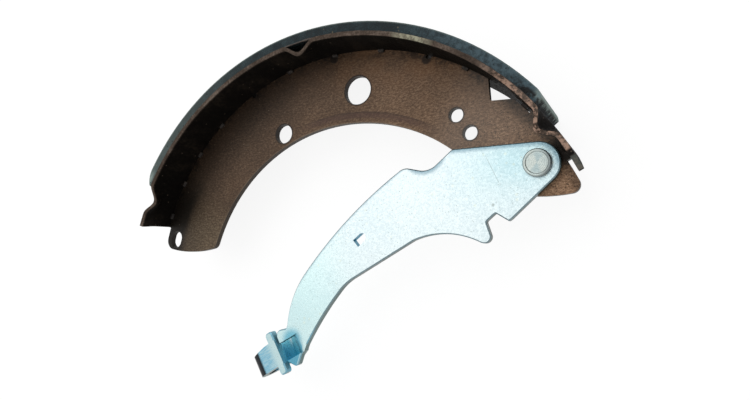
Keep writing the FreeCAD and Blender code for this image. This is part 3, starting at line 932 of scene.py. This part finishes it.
    def paint(self, tree: Painter) -> Socket:
        """Lay the lever's colours; see Finish.paint."""
        pits = tree.spots(*self.pit_dots)
        run, side = (tree.along(LAYOUT.scratch_start, LAYOUT.scratch_heading + turn)
                     for turn in (0, 90))
        scratch = tree.times(
            tree.band(side, *self.scratch_width),
            tree.band(run, self.scratch_from, LAYOUT.scratch_length, self.scratch_fade),
            self.scratch_share)
        dent = tree.times(tree.near(LAYOUT.dent, *self.dent_reach), self.dent_share)
        self._hook_measures(tree)
        tree.measures.update(
            pits=pits, damage=tree.most(scratch, dent), drawn=self._drawn_edges(tree),
            far=tree.mask("radius", self.far_radius),
            rimward=tree.along(LAYOUT.pivot, self.rimward_heading),
            slot=tree.near(LAYOUT.slot_centre, *self.slot_reach))
        tree.colour = self.plate
        tree.lay(*self.layers)
        tree.feed(tree.shader.inputs["Metallic"],
                  tree.mask("end", (0, 1, self.metallic, self.end_metallic)))
        return tree.math("SUBTRACT", tree.times(tree.grain, self.grain_height), pits)


# dark blue-grey of the pin's painted shade
PIN_SHADE: Colour = (0.045, 0.06, 0.07)


@dataclass(frozen=True)
class PinFinish(Finish):
    """Plated rivet head: turned in fine rings, with two darker fans and painted shade on its lower
    right side.

    Its radius and angle are about the pin's own axis.
    """

    name: str = "pin_zinc"
    mottling: Mottle = Mottle(260, 1500, 0.4)
    roughness: Pair = (0.24, 0.38)
    bump: Pair = (0.25, 0.00004)
    metallic: float = 0.6
    axis: Point = LAYOUT.pivot
    light: Colour = (0.42, 0.46, 0.43)
    ring_pitch: float = 9.0
    ring_share: float = 0.18
    # the fans are the crests of a cosine that goes twice round
    fans: float = 2.0
    fan_turn: float = -150.0
    layers: tuple[Layer, ...] = (
        Layer((0.22, 0.31, 0.33), masks={"rings": (0.1, 0.95, 0, 0.35)}),
        Layer((0.27, 0.35, 0.36), masks={"fans": (0.1, 0.95), "radius": (5.6, 3, 0.1, 0.75)}),
        # painted shade on the rim, the lower right side and the wall
        Layer(PIN_SHADE, 0.2, {"radius": (5.1, 5.75)}),
        Layer(PIN_SHADE, 0.6, {"radius": (3.6, 5), "angle": (-75, 50, 30)}),
        Layer(PIN_SHADE, masks={"slope": (0.8, 0.3, 0, 0.85)}))

    def paint(self, tree: Painter) -> Socket:
        """Lay the pin's colours; see Finish.paint."""
        measures = tree.measures
        rings = tree.math("SINE", tree.times(measures["radius"], self.ring_pitch))
        turn = tree.math("MULTIPLY_ADD", measures["angle"], math.radians(self.fans),
                         math.radians(self.fan_turn))
        measures["rings"] = tree.math("MULTIPLY_ADD", rings, self.ring_share, measures["tone"])
        measures["fans"] = tree.math("COSINE", turn)
        tree.colour = self.light
        tree.lay(*self.layers)
        return rings


# scorched weld metal: near black and brown, with a few bright grains
WELD_FINISH = Finish(
    "weld_scale", Mottle(500, 2200, 0.5), (0.38, 0.6), (0.5, 0.00015), metallic=0.2, specular=0.25,
    tones=((0, (0.004, 0.003, 0.0025)), (0.6, (0.014, 0.01, 0.008)), (1, (0.06, 0.045, 0.034))),
    layers=(Layer((0.2, 0.16, 0.12), 0.35, dots=(1500, 0.22, 0.12)),))
# dull brown-black bonding adhesive
GLUE_FINISH = Finish(
    "bond_adhesive", Mottle(300, 2000, 0.4), (0.45, 0.7), (0.4, 0.0001),
    tones=((0, (0.01, 0.007, 0.006)), (1, (0.055, 0.038, 0.028))))


# ---- pieces


def grid_mesh(name: str, points: np.ndarray, closed_across: bool) -> bpy.types.Object:
    """Make a mesh object from a grid of points, rows along the first axis.

    Each cell of the grid becomes one quad. Where the rows are closed, the last column joins the
    first, and the first and last rows get a cap.

    Args:
        name: the object's name.
        points: array of shape (rows, columns, 3) in metres.
        closed_across: whether each row is a closed loop.

    Returns:
        The linked object, at the origin and smooth shaded.
    """
    rows, columns = points.shape[:2]
    index = np.arange(rows * columns).reshape(rows, columns)
    if closed_across:
        index = np.concatenate([index, index[:, :1]], axis=1)
    quads = np.stack([index[:-1, :-1], index[:-1, 1:], index[1:, 1:], index[1:, :-1]], axis=-1)
    faces = quads.reshape(-1, 4).tolist()
    if closed_across:
        faces.append(index[0, :-1][::-1].tolist())
        faces.append(index[-1, :-1].tolist())
    mesh = bpy.data.meshes.new(name)
    mesh.from_pydata(points.reshape(-1, 3).tolist(), [], faces)
    mesh.update()
    mesh.shade_smooth()
    piece = bpy.data.objects.new(name, mesh)
    bpy.context.scene.collection.objects.link(piece)
    return piece


@dataclass
class SubAssembly:
    """CAD nodes of one body that are dressed together.

    Attributes:
        effects: the shared node groups.
        body: the body that its pieces move with.
        finishes: finish of each CAD node by the node's name.
    """

    effects: Effects
    body: Body = Body.SHOE
    finishes: dict[str, Finish] = field(default_factory=dict)

    def dress(self) -> None:
        """Give every CAD node of the sub-assembly its finish."""
        for name, finish in self.finishes.items():
            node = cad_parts[name]
            node.data.materials.clear()
            node.data.materials.append(finish.build(self.effects))
            LOG.info("dressed %s of the %s with %s", name, self.body.value, finish.name)

    def build(self) -> None:
        """Make the sub-assembly's own new pieces; most have none."""


@dataclass
class WeldedShoe(SubAssembly):
    """Web and rim, and the welds that join them."""

    finishes: dict[str, Finish] = field(default_factory=lambda: {
        "web": WebFinish(), "table": RimFinish(), "weld_beads": WELD_FINISH})


@dataclass
class BondedLining(SubAssembly):
    """Friction lining, and the line of adhesive that shows along both of its long edges.

    Attributes:
        bead_radius: mean radius of the adhesive's line in mm.
        bead_bulge: how far that radius changes along the line, in mm.
        bead_gap: turn in degrees from the lining's ends to the line's.
        rows: circles of points along the line.
        columns: points in a circle.
    """

    finishes: dict[str, Finish] = field(default_factory=lambda: {"lining": LiningFinish()})
    bead_radius: float = 0.42
    bead_bulge: float = 0.16
    bead_gap: float = 0.4
    rows: int = 420
    columns: int = 12

    def bead(self, name: str, height: float) -> bpy.types.Object:
        """Adhesive squeezed out along one edge of the lining.

        A circle of changing radius is carried along an arc about the drum's axis. At angle a its
        radius is the bead's radius plus its bulge times the mean of three sines of a. At the
        share t of the way it is multiplied by the 0.15th power of sin(pi t), taken as 0.02 at
        least, which rounds both ends.

        Args:
            name: the piece's name.
            height: height of the line's middle above the rear edge, in mm.

        Returns:
            The line of adhesive as an object.
        """
        along = np.linspace(math.radians(LAYOUT.lining_toe + self.bead_gap),
                            math.radians(LAYOUT.lining_heel - self.bead_gap), self.rows)[:, None]
        round_ = np.linspace(0.0, 2 * math.pi, self.columns, endpoint=False)[None, :]
        waves = (np.sin(37 * along) + np.sin(83 * along + 1.3) + np.sin(141 * along + 4.0)) / 3
        ends = np.sin(np.linspace(0.0, math.pi, self.rows))[:, None].clip(0.02) ** 0.15
        thickness = (self.bead_radius + self.bead_bulge * waves) * ends
        radius = LAYOUT.bond_radius + thickness * np.cos(round_)
        points = np.stack([radius * np.cos(along), radius * np.sin(along),
                           height + thickness * np.sin(round_)], axis=-1) * MM
        return grid_mesh(name, points[:, ::-1], True)

    def build(self) -> None:
        """Add both lines of adhesive."""
        glue = GLUE_FINISH.build(self.effects)
        for name, height in (("bond_line_front", LAYOUT.lining_high),
                             ("bond_line_rear", LAYOUT.lining_low)):
            piece = self.bead(name, height)
            piece.data.materials.append(glue)
            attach(piece, self.body.value)
            LOG.info("built %s", name)


@dataclass
class PivotPin(SubAssembly):
    """The rivet that the lever turns on."""

    finishes: dict[str, Finish] = field(default_factory=lambda: {"pivot_pin": PinFinish()})


@dataclass
class HandBrakeLever(SubAssembly):
    """The lever with its cable hook."""

    body: Body = Body.LEVER
    finishes: dict[str, Finish] = field(default_factory=lambda: {"lever": ZincFinish()})


# ---- studio


@dataclass(frozen=True)
class Studio:
    """Pale floor, soft light and the camera at the photograph's angle, in metres and degrees."""

    camera_place: Point = (0.13256, 0.01446, 0.26104)
    camera_turn: Point = (5.2011, 26.223, -3.7878)
    lens: float = 26.965
    sensor: float = 36.0
    nearest: float = 0.01
    floor_size: float = 6.0
    floor_points: int = 9
    floor_height: float = -0.0001
    floor_colour: Colour = (0.92, 0.92, 0.92)
    floor_roughness: float = 0.9
    floor_specular: float = 0.1
    floor_glow: float = 1.06
    floor_glow_share: float = 0.84
    sky_colour: Colour = (1.0, 1.0, 1.0)
    sky_level: float = 0.62
    key_place: Point = (-0.3, 0.42, 0.75)
    key_target: Point = (0.0, 0.04, 0.02)
    key_power: float = 3.7
    key_size: float = 1.1

    def camera(self) -> None:
        """Place the camera."""
        data = bpy.data.cameras.new("photo_camera")
        data.lens = self.lens
        data.sensor_width = self.sensor
        data.clip_start = self.nearest
        view = bpy.data.objects.new("photo_camera", data)
        view.location = self.camera_place
        view.rotation_euler = Euler([math.radians(turn) for turn in self.camera_turn], "XYZ")
        bpy.context.scene.collection.objects.link(view)
        bpy.context.scene.camera = view

    @staticmethod
    def _seen(tree: Tree) -> Value:
        """1 for camera, glossy and transmission rays, else 0."""
        path = tree.add("ShaderNodeLightPath")
        return tree.most(*(path.outputs[f"Is {kind} Ray"]
                           for kind in ("Camera", "Glossy", "Transmission")))

    def floor(self) -> None:
        """Flat floor just under the part that shows white and keeps the shadow.

        The surface is the grid x = size * (u - 1/2), y = size * (v - 1/2) at one height.
        """
        side = np.linspace(-self.floor_size / 2, self.floor_size / 2, self.floor_points)
        across, along = np.meshgrid(side, side)
        points = np.stack([across, along, np.full_like(across, self.floor_height)], axis=-1)
        floor = grid_mesh("floor", points, False)
        material = bpy.data.materials.new("floor_paper")
        material.use_nodes = True
        tree = Tree(material.node_tree)
        shader = tree.tree.nodes["Principled BSDF"]
        for name, value in (("Base Color", self.floor_colour), ("Roughness", self.floor_roughness),
                            ("Specular IOR Level", self.floor_specular)):
            tree.feed(shader.inputs[name], value)
        glow = tree.add("ShaderNodeEmission", {"Strength": self.floor_glow})
        share = tree.times(self._seen(tree), self.floor_glow_share)
        mix = tree.add("ShaderNodeMixShader", {0: share, 1: shader.outputs[0], 2: glow.outputs[0]})
        tree.feed(tree.tree.nodes["Material Output"].inputs["Surface"], mix.outputs[0])
        floor.data.materials.append(material)

    def light(self) -> None:
        """Even sky and one large lamp from behind the rim."""
        world = bpy.data.worlds.new("studio")
        bpy.context.scene.world = world
        world.use_nodes = True
        tree = Tree(world.node_tree)
        sky = world.node_tree.nodes["Background"]
        tree.feed(sky.inputs["Color"], self.sky_colour)
        tree.feed(sky.inputs["Strength"],
                  tree.math("MULTIPLY_ADD", self._seen(tree), 1.0 - self.sky_level,
                            self.sky_level))
        lamp = bpy.data.lights.new("key", "AREA")
        lamp.shape = "DISK"
        lamp.size = self.key_size
        lamp.energy = self.key_power
        key = bpy.data.objects.new("key", lamp)
        key.location = self.key_place
        aim = Vector(self.key_target) - Vector(self.key_place)
        key.rotation_euler = aim.to_track_quat("-Z", "Y").to_euler()
        bpy.context.scene.collection.objects.link(key)

    def build(self) -> None:
        """Build the floor, light and camera."""
        self.floor()
        self.light()
        self.camera()
        bpy.context.scene.view_settings.view_transform = "Standard"


def main() -> None:
    logging.basicConfig(level=logging.INFO, format="%(name)s: %(message)s")
    effects = Effects()
    for kind in (WeldedShoe, BondedLining, PivotPin, HandBrakeLever):
        assembly = kind(effects)
        assembly.dress()
        assembly.build()
    Studio().build()
    LOG.info("all pieces built")


if __name__ == "__main__":
    main()
